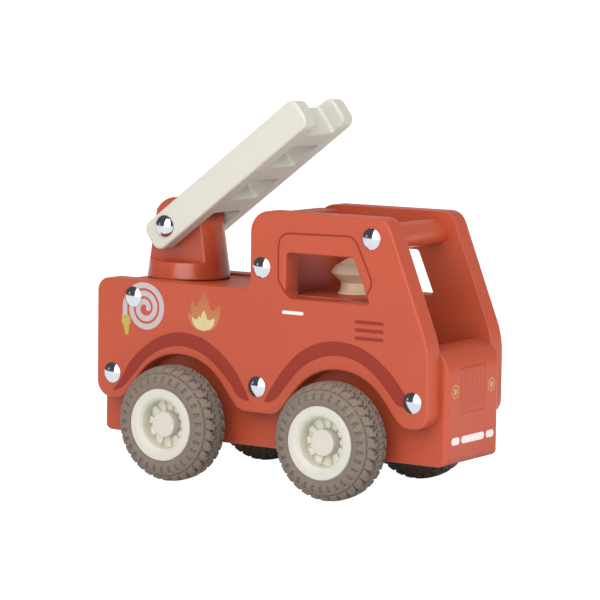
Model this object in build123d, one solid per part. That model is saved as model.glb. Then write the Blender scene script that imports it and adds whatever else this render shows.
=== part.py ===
from build123d import *
import math
import os

# Toy fire engine, assembled. Millimetres. +X is the way it drives, +Y its left side, +Z up,
# floor at Z = 0, origin midway between the axles on the centre line.

# ---- driving dimensions -------------------------------------------------------------------
tyre_radius = 27.5
tyre_width = 19.8
wheel_face_y = 49.1
axle_x = 44.7
axle_z = tyre_radius

core_half = 23.3
panel_thick = 10.5
panel_face = core_half + panel_thick

core_end_x = 96.8
core_bottom = 18.0
core_top = 62.0
core_corner = 5.0
end_round = 2.4
hood_top = 72.2
hood_back_x = 83.4
hood_round = 12.0

deck_top = 92.4
deck_thick = 13.4
rear_board_thick = 13.2
rear_board_top = 91.8
wall_back_x = -4.5
wall_front_x = 8.3
wall_top = 128.3
seat_front_x = 45.0
seat_top = 91.2

panel_rear_x = -93.7
panel_front_x = 92.6
panel_deck_z = 93.4
panel_cab_x = -4.9
panel_roof_z = 130.3
panel_foot_z = 35.6
screen_top_x = 69.7
screen_foot_z = 72.7
arch_apex_z = 59.3
arch_tangent = (23.7, 48.0)
arch_foot_half = 33.8

window_left_x = 15.1
window_sill_z = 90.5
window_head_z = 111.5
window_head_x = 51.9
window_sill_x = 60.9

rod_x = 61.5
rod_z = 120.7
rod_radius = 6.0

pin_head_radius = 4.85
pin_head_height = 1.9
pin_shank_radius = 2.0
pin_length = 26.0
pin_places = [(1.8, 104.0), (rod_x, rod_z), (-72.2, 85.2), (-84.4, 47.6), (-0.2, 48.0), (84.6, 47.9)]

turret_x = -63.7
turret_base_z = 92.7
turret_base_radius = 20.3
turret_taper = 0.135
turret_ledge_z = 101.3
turret_top_z = 132.0
tongue_half = 10.0
turret_ease = 0.9

pivot_z = 118.6
pivot_radius = 3.0
ladder_angle = 37.1
ladder_thick = 15.3
ladder_drop = 0.35
ladder_corner = 4.7
ladder_half = 20.5
ladder_foot = -11.4
ladder_tip = 96.5
ladder_slot_half = 10.9
ladder_slot_end = 21.4
ladder_hole_half = 11.5
ladder_holes = [(32.6, 49.4), (59.8, 77.3)]
ladder_notch = 87.5
ladder_ease = 1.2
ladder_cut_corner = 1.5

axle_radius = 2.5
axle_half_length = 36.0
bush_radius = 4.0
bush_length = 12.0
flange_radius = 7.0
flange_thick = 1.0
running_gap = 0.06
pivot_gap = 0.08

rim_lip_radius = 17.3
rim_lip_thick = 1.6
rim_barrel_radius = 16.4
rim_dish_radius = 11.6
rim_dish_floor = 9.0
rim_hub_radius = 8.0
rim_boss_end = 25.6
cap_radius = 6.3
cap_set_back = 2.6
cap_plug_radius = 4.0
cap_plug_length = 4.0

driver_x = 31.9
driver_peg_radius = 6.0
driver_peg_depth = 12.0
driver_top_z = 108.2


# ---- helpers ------------------------------------------------------------------------------
def slab(sketch, y_low, y_high):
    """A side-view outline (X, Z) given thickness between two Y values."""
    return extrude(Plane.XZ.offset(-y_high) * sketch, amount=y_high - y_low)


def block(x_low, x_high, y_low, y_high, z_low, z_high):
    centre = Pos((x_low + x_high) / 2, (y_low + y_high) / 2, (z_low + z_high) / 2)
    return centre * Box(x_high - x_low, y_high - y_low, z_high - z_low)


def rod_y(x, z, radius, y_low, y_high):
    """A round bar lying across the toy."""
    return Pos(x, (y_low + y_high) / 2, z) * Rot(90, 0, 0) * Cylinder(radius, y_high - y_low)


def corner(sketch, x, z):
    """The outline corner nearest to a point."""
    return min(sketch.vertices(), key=lambda v: (v.X - x) ** 2 + (v.Y - z) ** 2)


def eased(sketch, corners):
    """Round the named corners of an outline, each with its own radius."""
    for x, z, radius in corners:
        sketch = fillet(corner(sketch, x, z), radius)
    return sketch


def turned(outline, axis):
    """A solid of revolution from a closed outline of (radius, height) points."""
    face = make_face(Plane.XZ * Polyline(*outline, close=True))
    return axis * revolve(face, Axis.Z, 360)


def dome_pin(x, z, side):
    """Blind dome-headed drive pin, its head on the outside of a side panel."""
    cap_sphere = (pin_head_radius ** 2 + pin_head_height ** 2) / (2 * pin_head_height)
    ball = Pos(0, 0, pin_head_height - cap_sphere) * Sphere(cap_sphere)
    head = ball & Pos(0, 0, pin_head_height / 2) * Box(20, 20, pin_head_height)
    shank = Pos(0, 0, -pin_length / 2) * Cylinder(pin_shank_radius, pin_length)
    return Pos(x, side * panel_face, z) * Rot(-90 * side, 0, 0) * (head + shank)


# ---- body boards --------------------------------------------------------------------------
def panel_outline():
    line = []
    for centre in (axle_x, -axle_x):
        line.append((centre + arch_foot_half, panel_foot_z))
        line.append((centre + arch_tangent[0], arch_tangent[1]))
        line.append((centre, arch_apex_z))
        line.append((centre - arch_tangent[0], arch_tangent[1]))
        line.append((centre - arch_foot_half, panel_foot_z))
    top = [(panel_rear_x, panel_foot_z), (panel_rear_x, panel_deck_z), (panel_cab_x, panel_deck_z)]
    top += [(panel_cab_x, panel_roof_z), (screen_top_x, panel_roof_z)]
    top += [(panel_front_x, screen_foot_z), (panel_front_x, panel_foot_z)]
    edges = [Polyline(line[9], *top, line[0])]
    for first in (0, 5):
        edges.append(Line(line[first], line[first + 1]))
        edges.append(ThreePointArc(line[first + 1], line[first + 2], line[first + 3]))
        edges.append(Line(line[first + 3], line[first + 4]))
    edges.append(Line(line[4], line[5]))
    outline = make_face(Curve() + edges)
    outline = eased(outline, [(line[i][0], line[i][1], 8.0) for i in (0, 4, 5, 9)])
    corners = [(panel_rear_x, panel_foot_z, 8.0), (panel_rear_x, panel_deck_z, 6.5)]
    corners += [(panel_cab_x, panel_deck_z, 5.0), (panel_cab_x, panel_roof_z, 10.0)]
    corners += [(screen_top_x, panel_roof_z, 8.0), (panel_front_x, screen_foot_z, 40.0)]
    corners += [(panel_front_x, panel_foot_z, 7.5)]
    return eased(outline, corners)


def window_outline():
    left = [(window_left_x, window_sill_z), (window_left_x, window_head_z)]
    right = [(window_head_x, window_head_z), (window_sill_x, window_sill_z)]
    outline = make_face(Polyline(*left, *right, close=True))
    corners = [(*left[0], 3.0), (*left[1], 2.0), (*right[0], 2.0), (*right[1], 1.5)]
    return eased(outline, corners)


def side_panel(side):
    """Painted plywood side with two wheel arches and a window, drilled for its pins."""
    low, high = sorted((side * core_half, side * panel_face))
    panel = slab(panel_outline() - window_outline(), low, high)
    outer = [e for e in panel.edges() if abs(e.center().Y - side * panel_face) < 0.01]
    panel = fillet(outer, 1.0)
    for x, z in pin_places:
        panel -= rod_y(x, z, pin_shank_radius, low - 1, high + 1)
    return panel


def pin_set(side):
    return Compound(children=[dome_pin(x, z, side) for x, z in pin_places])


def pin_holes(places, part):
    reach = pin_length - panel_thick
    for x, z in places:
        part -= rod_y(x, z, pin_shank_radius, core_half - reach, core_half + 1)
        part -= rod_y(x, z, pin_shank_radius, -core_half - 1, reach - core_half)
    return part


def rounded_plan():
    """Upright prism that rounds the toy's end corners as seen from above."""
    return extrude(RectangleRounded(2 * core_end_x, 2 * core_half, end_round), amount=rear_board_top)


def chassis_block():
    """Long core between the side panels, with the front upstand that is the nose."""
    low = [(-core_end_x, core_bottom), (core_end_x, core_bottom)]
    nose = [(core_end_x, hood_top), (hood_back_x, hood_top), (hood_back_x, core_top)]
    outline = make_face(Polyline(*low, *nose, (-core_end_x, core_top), close=True))
    corners = [(*low[0], core_corner), (*low[1], core_corner)]
    corners += [(*nose[0], hood_round), (*nose[1], 1.0)]
    core = slab(eased(outline, corners), -core_half, core_half) & rounded_plan()
    for x in (-axle_x, axle_x):
        core -= rod_y(x, axle_z, bush_radius, -core_half - 1, core_half + 1)
        for side in (-1, 1):
            low_y, high_y = sorted((side * (core_half - flange_thick), side * (core_half + 1)))
            core -= rod_y(x, axle_z, flange_radius, low_y, high_y)
    return pin_holes(pin_places[3:], core)


def rear_board():
    front = -core_end_x + rear_board_thick
    low = [(-core_end_x, core_top), (front, core_top)]
    high = [(front, rear_board_top), (-core_end_x, rear_board_top)]
    outline = make_face(Polyline(*low, *high, close=True))
    return slab(eased(outline, [(*high[1], hood_round)]), -core_half, core_half) & rounded_plan()


def deck_plank():
    """Rear deck with the turret's bearing hole."""
    back = -core_end_x + rear_board_thick
    deck = block(back, wall_back_x, -core_half, core_half, deck_top - deck_thick, deck_top)
    deck -= Pos(turret_x, 0, deck_top) * Cylinder(pivot_radius + pivot_gap, 60)
    return pin_holes([pin_places[2]], deck)


def cab_rear_wall():
    wall = block(wall_back_x, wall_front_x, -core_half, core_half, core_top, wall_top)
    wall = fillet(wall.edges().filter_by(Axis.Y).group_by(Axis.Z)[-1], 1.2)
    return pin_holes([pin_places[0]], wall)


def seat_block():
    """Solid seat behind the windows, with the driver's peg hole."""
    seat = block(wall_front_x, seat_front_x, -core_half, core_half, core_top, seat_top)
    seat = fillet(seat.edges().filter_by(Axis.Y).group_by(Axis.Z)[-1].sort_by(Axis.X)[-1], 2.0)
    hole_z = seat_top - driver_peg_depth / 2
    return seat - Pos(driver_x, 0, hole_z) * Cylinder(driver_peg_radius, driver_peg_depth)


def handle_rod():
    """Round cross bar at the top of the windscreen, the toy's grip."""
    return pin_holes([pin_places[1]], rod_y(rod_x, rod_z, rod_radius, -core_half, core_half))


# ---- driver -------------------------------------------------------------------------------
def driver():
    """Turned beech driver in a brimmed helmet, standing in the seat block on a glued peg."""
    peg = [(0, seat_top - driver_peg_depth), (driver_peg_radius, seat_top - driver_peg_depth)]
    body = [(driver_peg_radius, seat_top), (8.2, seat_top), (8.1, 91.8), (7.1, 92.8), (6.7, 96.4)]
    brim = [(8.6, 98.4), (11.0, 100.6), (11.4, 101.2), (11.2, 101.9)]
    helmet = [(9.7, 103.9), (7.2, 105.4), (5.6, 106.6), (3.6, 107.7), (1.8, 108.1)]
    outline = peg + body + brim + helmet + [(0, driver_top_z)]
    return turned(outline, Pos(driver_x, 0, 0))


# ---- turret and ladder --------------------------------------------------------------------
def turret():
    """Tapered swivel post; its sides are cut flat above a ledge for the ladder's arms."""
    height = turret_top_z - turret_base_z
    top_radius = turret_base_radius - turret_taper * height
    cone = Pos(0, 0, turret_base_z + height / 2) * Cone(turret_base_radius, top_radius, height)
    rise = [(17.9, 111.0), (16.7, 117.0), (14.6, 122.3), (10.6, 128.2), (5.9, 131.1)]
    crown = Spline(*[(-x, z) for x, z in rise], (0, turret_top_z), *reversed(rise))
    low = turret_base_z - 1
    skirt = Polyline((17.9, 111.0), (22, 111.0), (22, low), (-22, low), (-22, 111.0), (-17.9, 111.0))
    post = cone & slab(make_face(Curve() + [crown, skirt]), -25, 25)
    for side in (-1, 1):
        low_y, high_y = sorted((side * tongue_half, side * 30))
        post -= block(-30, 30, low_y, high_y, turret_ledge_z, turret_top_z + 1)
    post = fillet(post.edges(), turret_ease)
    post -= rod_y(0, pivot_z, pivot_radius + pivot_gap, -30, 30)
    post = Pos(turret_x, 0, 0) * post
    return post - Pos(turret_x, 0, turret_base_z) * Cylinder(pivot_radius, 36)


def turret_spindle():
    """Steel spindle pressed up into the turret, turning in the deck's hole."""
    bottom = deck_top - deck_thick - 5.5
    top = turret_base_z + 18
    return Pos(turret_x, 0, (bottom + top) / 2) * Cylinder(pivot_radius, top - bottom)


def turret_washer():
    top = deck_top - deck_thick - 0.3
    ring = Cylinder(8.0, 1.2) - Cylinder(pivot_radius, 2)
    return Pos(turret_x, 0, top - 0.6) * ring


def turret_retainer():
    """Push-on retaining cap on the spindle's lower end, under the washer."""
    top = deck_top - deck_thick - 1.5
    ring = Cylinder(5.5, 3.0) - Cylinder(pivot_radius, 4)
    return Pos(turret_x, 0, top - 1.5) * ring


def ladder_place():
    angle = math.radians(ladder_angle)
    along = (math.cos(angle), 0, math.sin(angle))
    up = (-math.sin(angle), 0, math.cos(angle))
    return Location(Plane(origin=(turret_x, 0, pivot_z), x_dir=along, z_dir=up))


def plan_opening(start, end, half):
    """A cut right through the ladder's thickness, corners rounded."""
    shape = Pos((start + end) / 2, 0) * RectangleRounded(end - start, 2 * half, ladder_cut_corner)
    return extrude(shape, amount=ladder_thick, both=True)


def ladder():
    """One-piece ladder: two rails, three broad rungs, forked foot and notched tip."""
    length = ladder_tip - ladder_foot
    middle = (ladder_tip + ladder_foot) / 2
    side_view = Pos(middle, -ladder_drop) * RectangleRounded(length, ladder_thick, ladder_corner)
    plate = extrude(Plane.XZ * side_view, amount=ladder_half, both=True)
    plate -= plan_opening(ladder_foot - 12, ladder_slot_end, ladder_slot_half)
    plate -= plan_opening(ladder_notch, ladder_tip + 12, ladder_hole_half)
    plate = fillet(plate.edges(), ladder_ease)
    for start, end in ladder_holes:
        plate -= plan_opening(start, end, ladder_hole_half)
    plate -= rod_y(0, 0, pivot_radius, -30, 30)
    return ladder_place() * plate


def ladder_pin():
    """Pivot pin, dome head on the right-hand arm."""
    shank = rod_y(0, 0, pivot_radius, -ladder_half, ladder_half + 2.0)
    return ladder_place() * (shank + pivot_dome(-1))


def pivot_dome(side):
    radius = 5.4
    height = 3.0
    sphere = (radius ** 2 + height ** 2) / (2 * height)
    ball = Pos(0, 0, height - sphere) * Sphere(sphere)
    head = ball & Pos(0, 0, height / 2) * Box(20, 20, height)
    return Pos(0, side * ladder_half, 0) * Rot(-90 * side, 0, 0) * head


def ladder_pin_cap():
    """Push-on dome cap closing the far end of the pivot pin."""
    return ladder_place() * (pivot_dome(1) - rod_y(0, 0, pivot_radius, 0, ladder_half + 2.0))


def ladder_washers():
    rings = []
    for side in (-1, 1):
        low_y, high_y = sorted((side * (tongue_half + 0.3), side * ladder_slot_half))
        ring = rod_y(0, 0, 6.0, low_y, high_y) - rod_y(0, 0, pivot_radius, low_y - 1, high_y + 1)
        rings.append(ladder_place() * ring)
    return Compound(children=rings)


# ---- running gear -------------------------------------------------------------------------
def axle(x):
    return rod_y(x, axle_z, axle_radius, -axle_half_length, axle_half_length)


def axle_bushes(x):
    """Pair of flanged nylon bushes pressed into the core."""
    bushes = []
    for side in (-1, 1):
        inner, face = side * (core_half - bush_length), side * core_half
        shoulder = side * (core_half - flange_thick)
        bush = rod_y(x, axle_z, bush_radius, *sorted((inner, face)))
        bush += rod_y(x, axle_z, flange_radius, *sorted((shoulder, face)))
        bushes.append(bush - rod_y(x, axle_z, axle_radius + running_gap, -60, 60))
    return Compound(children=bushes)


def wheel_spacers(x):
    """Loose steel washers between each bush and the wheel's boss."""
    rings = []
    for side in (-1, 1):
        low_y, high_y = sorted((side * (core_half + 0.5), side * (rim_boss_end - 0.4)))
        ring = rod_y(x, axle_z, 5.5, low_y, high_y)
        rings.append(ring - rod_y(x, axle_z, axle_radius, low_y - 1, high_y + 1))
    return Compound(children=rings)


def wheel_at(x, side):
    """Wheel frame: local Z runs outward along the axle from the toy's centre plane."""
    return Pos(x, 0, axle_z) * Rot(-90 * side, 0, 0)


def tyre(x, side):
    """Moulded rubber tyre; its bead seats on the rim's barrel behind the lip."""
    face = wheel_face_y
    back = face - tyre_width
    lip = face - rim_lip_thick
    inner = [(rim_barrel_radius, back + 1.0), (rim_barrel_radius, lip), (rim_lip_radius, lip)]
    outer = [(rim_lip_radius, face - 0.4), (21.5, face), (24.3, face - 2.0), (26.2, face - 3.6)]
    tread = [(27.2, face - 5.6), (tyre_radius, face - 7.6), (tyre_radius, back + 7.6)]
    inboard = [(27.2, back + 5.6), (26.2, back + 3.6), (24.3, back + 2.0), (21.5, back)]
    return turned(inner + outer + tread + inboard, wheel_at(x, side))


def rim(x, side):
    """Moulded wheel centre: lip, dished face, hub and inboard boss."""
    face = wheel_face_y + 0.2
    back = wheel_face_y - tyre_width + 1.0
    floor = face - rim_dish_floor
    socket = floor - cap_plug_length
    inside = [(axle_radius, rim_boss_end), (axle_radius, socket), (cap_plug_radius, socket)]
    dish = [(cap_plug_radius, floor), (rim_dish_radius, floor), (rim_dish_radius, face - 1.9)]
    dish += [(12.6, face - 0.4)]
    lip = [(14.0, face), (16.8, face), (rim_lip_radius, face - 0.6)]
    barrel = [(rim_lip_radius, face - 0.2 - rim_lip_thick)]
    barrel += [(rim_barrel_radius, face - 0.2 - rim_lip_thick), (rim_barrel_radius, back)]
    rear = [(13.6, back), (12.6, floor - 5.0), (rim_hub_radius, floor - 6.5)]
    rear += [(rim_hub_radius, back - 1.0), (5.5, rim_boss_end)]
    return turned(inside + dish + lip + barrel + rear, wheel_at(x, side))


def hub_cap(x, side):
    """Plain round cap pushed into the wheel centre over the axle's end."""
    face = wheel_face_y + 0.2
    floor = face - rim_dish_floor
    front = face - cap_set_back
    plug = [(0, floor - cap_plug_length), (cap_plug_radius, floor - cap_plug_length)]
    disc = [(cap_plug_radius, floor), (cap_radius, floor), (cap_radius, front - 0.5)]
    disc += [(cap_radius - 0.5, front), (0, front)]
    return turned(plug + disc, wheel_at(x, side))


# ---- everything, one file for each piece ---------------------------------------------------
parts = {
    "chassis_block": chassis_block(),
    "right_panel": side_panel(-1),
    "left_panel": side_panel(1),
    "right_panel_pins": pin_set(-1),
    "left_panel_pins": pin_set(1),
    "rear_board": rear_board(),
    "deck_plank": deck_plank(),
    "cab_rear_wall": cab_rear_wall(),
    "seat_block": seat_block(),
    "handle_rod": handle_rod(),
    "driver": driver(),
    "turret": turret(),
    "turret_spindle": turret_spindle(),
    "turret_washer": turret_washer(),
    "turret_retainer": turret_retainer(),
    "ladder": ladder(),
    "ladder_pin": ladder_pin(),
    "ladder_pin_cap": ladder_pin_cap(),
    "ladder_washers": ladder_washers(),
}
for end, x in (("front", axle_x), ("rear", -axle_x)):
    parts[end + "_axle"] = axle(x)
    parts[end + "_axle_bushes"] = axle_bushes(x)
    parts[end + "_wheel_spacers"] = wheel_spacers(x)
    for hand, side in (("left", 1), ("right", -1)):
        parts[end + "_" + hand + "_tyre"] = tyre(x, side)
        parts[end + "_" + hand + "_rim"] = rim(x, side)
        parts[end + "_" + hand + "_hub_cap"] = hub_cap(x, side)

os.makedirs("parts", exist_ok=True)
for name, part in parts.items():
    export_step(part, "parts/" + name + ".step")
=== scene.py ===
import functools
import math

import bmesh
import bpy
import numpy as np
from mathutils import Matrix, Vector


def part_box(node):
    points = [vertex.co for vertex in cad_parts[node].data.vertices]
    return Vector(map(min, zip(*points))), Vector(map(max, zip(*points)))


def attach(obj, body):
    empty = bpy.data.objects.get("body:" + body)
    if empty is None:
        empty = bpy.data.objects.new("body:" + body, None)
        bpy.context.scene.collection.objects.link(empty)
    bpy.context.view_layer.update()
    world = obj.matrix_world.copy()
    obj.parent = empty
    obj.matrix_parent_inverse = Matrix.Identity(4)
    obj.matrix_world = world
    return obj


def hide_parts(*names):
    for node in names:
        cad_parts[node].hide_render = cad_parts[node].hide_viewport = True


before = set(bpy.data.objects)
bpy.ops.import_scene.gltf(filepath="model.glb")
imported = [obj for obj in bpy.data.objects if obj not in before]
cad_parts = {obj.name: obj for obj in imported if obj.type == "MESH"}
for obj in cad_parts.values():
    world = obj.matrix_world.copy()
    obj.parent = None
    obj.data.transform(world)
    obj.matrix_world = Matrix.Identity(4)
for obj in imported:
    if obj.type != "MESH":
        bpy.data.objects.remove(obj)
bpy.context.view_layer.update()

# Everything below is written in millimetres and turned into metres by MM.
# +X is the way the toy drives, +Y its left side, +Z up, floor at Z = 0.
MM = 0.001


def corners(node):
    """A node's lowest and highest corner in millimetres."""
    return [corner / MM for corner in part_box(node)]


def middle(node):
    """The middle of a node's box in millimetres."""
    low_corner, high_corner = corners(node)
    return (low_corner + high_corner) / 2


# ---- places taken from the frame ---------------------------------------------------------
PANEL_FACE = corners("left_panel")[1].y
FRONT_FACE = corners("chassis_block")[1].x
TYRE_BOX = corners("front_left_tyre")
TYRE_R = (TYRE_BOX[1].z - TYRE_BOX[0].z) / 2
TYRE_HALF = (TYRE_BOX[1].y - TYRE_BOX[0].y) / 2
WHEEL_FACE = TYRE_BOX[1].y
AXLE_X = {end: middle(end + "_axle").x for end in ("front", "rear")}
AXLE_Z = middle("front_axle").z
DRIVER_X = middle("driver").x
DRIVER_FOOT = corners("driver")[0].z
PIVOT_X = middle("ladder_pin").x
PIVOT_Z = middle("ladder_pin").z
LADDER_HALF = corners("ladder")[1].y

# ---- sizes the pieces share --------------------------------------------------------------
SIDES = (("right", -1), ("left", 1))
LADDER_ANGLE = math.radians(37.1)
INK = 0.03
INK_SUNK = 0.08
OVERPRINT = 0.02
FADE_LOW, FADE_HIGH = 73.0, 90.0
PANEL_PIN_RADIUS, PANEL_PIN_HEIGHT, PANEL_SHANK_RADIUS, PANEL_SHANK = 4.85, 1.85, 2.0, 26.0
PIVOT_HEAD_RADIUS, PIVOT_HEAD_HEIGHT, PIVOT_SHANK_RADIUS, PIVOT_CAP_SHANK = 5.4, 3.0, 3.0, 0.5
PIN_PLACES = [(1.8, 104.0), (61.5, 120.7), (-72.2, 85.2), (-84.4, 47.6), (-0.2, 48.0), (84.6, 47.9)]
TREAD_PERIODS = 31
TREAD_STEPS = 20
PLAIN_ROW, CUT_ROW = 0.55, 0.235
BEAD_R = 17.3
RIM_PROUD = 0.2
WELL_DEPTH = 8.8
RIB_FACE_DEPTH = 7.8
CAP_SEAT_DEPTH = 9.0
# Radii where the painted glow in the rim's well starts and where it is full.
WELL_GLOW_FROM, WELL_GLOW_FULL = 12.5, 10.8
RIB_COUNT = 12
RIB_STEPS = 24


# ---- materials ---------------------------------------------------------------------------
def srgb(r, g, b):
    """8-bit sRGB numbers as a linear colour."""
    channels = [c / 255 for c in (r, g, b)]
    return [c / 12.92 if c <= 0.04045 else ((c + 0.055) / 1.055) ** 2.4 for c in channels] + [1.0]


def scaled(colour, by):
    """A colour made lighter or darker."""
    return [min(1.0, c * by) for c in colour[:3]] + [1.0]


class Look:
    """Node material round one Principled shader, its patterns placed in the object's own space."""

    def __init__(self, name):
        self.material = bpy.data.materials.new(name)
        self.material.use_nodes = True
        self.tree = self.material.node_tree
        self.shader = self.tree.nodes["Principled BSDF"]
        self.place = self.add("ShaderNodeTexCoord").outputs["Object"]

    def add(self, kind, inputs=None, **settings):
        node = self.tree.nodes.new(kind)
        for key, value in settings.items():
            setattr(node, key, value)
        for key, value in (inputs or {}).items():
            self.feed(node.inputs[key], value)
        return node

    def feed(self, socket, value):
        if isinstance(value, bpy.types.NodeSocket):
            self.tree.links.new(value, socket)
        else:
            socket.default_value = value

    def set(self, **values):
        for key, value in values.items():
            self.feed(self.shader.inputs[key.replace("_", " ")], value)

    def mapped(self, stretch, turn=(0, 0, 0)):
        turned = self.add("ShaderNodeMapping", {"Vector": self.place, "Rotation": turn})
        inputs = {"Vector": turned.outputs[0], "Scale": stretch}
        return self.add("ShaderNodeMapping", inputs).outputs[0]

    def noise(self, scale, detail=2.0, vector=None, roughness=0.5, distortion=0.0):
        inputs = {"Vector": vector or self.place, "Scale": scale, "Detail": detail}
        inputs.update({"Roughness": roughness, "Distortion": distortion})
        return self.add("ShaderNodeTexNoise", inputs).outputs["Fac"]

    def span(self, value, low, high, out_low=0.0, out_high=1.0):
        """A value's range low to high brought to another range, clamped."""
        inputs = {"Value": value, "From Min": low, "From Max": high}
        inputs.update({"To Min": out_low, "To Max": out_high})
        return self.add("ShaderNodeMapRange", inputs).outputs["Result"]

    def maths(self, operation, a, b=0.0):
        node = self.add("ShaderNodeMath", operation=operation)
        self.feed(node.inputs[0], a)
        self.feed(node.inputs[1], b)
        return node.outputs[0]

    def blend(self, factor, a, b):
        node = self.add("ShaderNodeMix", data_type="RGBA")
        self.feed(node.inputs[0], factor)
        self.feed(node.inputs[6], a)
        self.feed(node.inputs[7], b)
        return node.outputs[2]

    def reach(self):
        """Distance from the object's own Z axis."""
        flat = self.add("ShaderNodeVectorMath", operation="MULTIPLY")
        self.feed(flat.inputs[0], self.place)
        self.feed(flat.inputs[1], (1, 1, 0))
        length = self.add("ShaderNodeVectorMath", {0: flat.outputs[0]}, operation="LENGTH")
        return length.outputs["Value"]

    def bevel(self, radius):
        return self.add("ShaderNodeBevel", {"Radius": radius * MM}, samples=6).outputs["Normal"]

    def edges(self, rounded, low=0.01, high=0.16):
        """1 along the sharp edges, where the rounded normal leaves the true one."""
        true = self.add("ShaderNodeNewGeometry").outputs["Normal"]
        node = self.add("ShaderNodeVectorMath", operation="DOT_PRODUCT")
        self.feed(node.inputs[0], rounded)
        self.feed(node.inputs[1], true)
        return self.span(node.outputs["Value"], 1 - low, 1 - high)

    def bump(self, height, distance, strength=1.0, normal=None):
        inputs = {"Height": height, "Distance": distance * MM, "Strength": strength}
        if normal is not None:
            inputs["Normal"] = normal
        return self.add("ShaderNodeBump", inputs).outputs["Normal"]


def painted_wood(name, colour, roughness, grain, turn=(0, 0, 0),
                 round_edges=0.7, wear_and_highlight=0.28, shine=0.42):
    """Sprayed satin paint: grain just showing through, fine orange peel, edges paler from thinner
    paint and from a painted edge highlight.
    """
    look = Look(name)
    rounded = look.bevel(round_edges)
    fibre = look.noise(1.0, 4.0, look.mapped(grain, turn), 0.6, 0.4)
    cloud = look.noise(16.0, 3.0)
    peel = look.noise(700.0, 2.0)
    speck = look.noise(2600.0, 1.0)
    base = look.blend(look.span(cloud, 0.3, 0.7), scaled(colour, 0.955), scaled(colour, 1.035))
    base = look.blend(look.span(fibre, 0.30, 0.75, 0.0, 0.14), base, scaled(colour, 0.86))
    base = look.blend(look.span(speck, 0.68, 0.80, 0.0, 0.25), base, scaled(colour, 1.18))
    # Edges made paler: partly thinner paint, partly a painted highlight along them.
    patchy = look.span(cloud, 0.32, 0.62, wear_and_highlight * 0.5, wear_and_highlight)
    rubbed_and_highlit = look.maths("MULTIPLY", look.edges(rounded), patchy)
    pale = [c * 0.62 + 0.30 for c in colour[:3]] + [1.0]
    base = look.blend(rubbed_and_highlit, base, pale)
    raised = look.maths("MULTIPLY", fibre, 0.55)
    height = look.maths("ADD", raised, look.maths("MULTIPLY", peel, 0.45))
    look.set(Base_Color=base, Normal=look.bump(height, 0.05, 0.55, rounded))
    look.shader.inputs["Specular IOR Level"].default_value = shine
    uneven = look.noise(55.0, 4.0)
    look.set(Roughness=look.span(uneven, 0.3, 0.7, roughness - 0.05, roughness + 0.07))
    return look.material


def bare_beech(name, light, dark):
    """Oiled beech turned along its grain: faint rings, short dark flecks."""
    look = Look(name)
    along = look.mapped((260.0, 260.0, 34.0))
    ring = look.add("ShaderNodeTexWave", {"Vector": look.mapped((1, 1, 0.12)), "Scale": 95.0,
                    "Distortion": 3.2, "Detail": 2.0, "Detail Scale": 1.6}, wave_type="RINGS")
    fleck = look.noise(1.0, 3.0, look.mapped((1500.0, 1500.0, 240.0)), 0.6)
    fibre = look.noise(1.0, 4.0, along, 0.6)
    base = look.blend(look.span(ring.outputs["Fac"], 0.1, 0.95, 0.0, 0.55), light, dark)
    base = look.blend(look.span(fibre, 0.35, 0.7, 0.0, 0.35), base, dark)
    base = look.blend(look.span(fleck, 0.64, 0.72, 0.0, 0.55), base, scaled(dark, 0.55))
    look.set(Base_Color=base, Normal=look.bump(look.maths("ADD", fibre, fleck), 0.06, 0.5))
    look.set(Roughness=look.span(fibre, 0.3, 0.7, 0.46, 0.60))
    return look.material


def rubber(name, colour):
    """Matt moulded rubber, paler where it rubs, with painted shade in its grooves and hollows, and
    mould grain.
    """
    look = Look(name)
    crest_wear_and_groove_shade = look.add("ShaderNodeNewGeometry").outputs["Pointiness"]
    cloud = look.noise(120.0, 3.0)
    dust = look.noise(900.0, 3.0)
    base = look.blend(look.span(cloud, 0.3, 0.7), scaled(colour, 0.93), scaled(colour, 1.05))
    base = look.blend(look.span(crest_wear_and_groove_shade, 0.52, 0.62, 0.0, 0.35), base, scaled(colour, 1.35))
    # Painted shade: grooves and hollows darkened nearly to black.
    base = look.blend(look.span(crest_wear_and_groove_shade, 0.491, 0.44, 0.0, 0.95), base, scaled(colour, 0.12))
    base = look.blend(look.span(dust, 0.60, 0.78, 0.0, 0.18), base, scaled(colour, 1.5))
    look.set(Base_Color=base, Normal=look.bump(look.noise(1700.0, 3.0), 0.05, 0.6))
    look.set(Roughness=look.span(cloud, 0.3, 0.7, 0.68, 0.82))
    look.shader.inputs["Specular IOR Level"].default_value = 0.35
    return look.material


def moulded(name, colour, roughness, well=None):
    """Satin injection-moulded plastic with a faint mould texture. A wheel centre gets a painted
    glow in its thin-walled well, standing in for light coming through it."""
    look = Look(name)
    rounded = look.bevel(0.35)
    cloud = look.noise(40.0, 3.0)
    flow = look.noise(1.0, 3.0, look.mapped((260.0, 60.0, 260.0)))
    base = look.blend(look.span(cloud, 0.3, 0.7), scaled(colour, 0.975), scaled(colour, 1.02))
    base = look.blend(look.span(flow, 0.45, 0.75, 0.0, 0.12), base, scaled(colour, 0.90))
    if well is not None:
        # Painted light: the well made paler, standing in for light coming through the thin plastic.
        well_glow = look.span(look.reach(), WELL_GLOW_FROM * MM, WELL_GLOW_FULL * MM, 0.0, 0.8)
        base = look.blend(well_glow, base, well)
    look.set(Base_Color=base, Normal=look.bump(look.noise(1500.0, 2.0), 0.02, 0.5, rounded))
    look.set(Roughness=look.span(flow, 0.3, 0.7, roughness - 0.04, roughness + 0.06))
    look.shader.inputs["Subsurface Weight"].default_value = 0.12
    look.shader.inputs["Subsurface Radius"].default_value = (0.0012, 0.0010, 0.0007)
    return look.material


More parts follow.
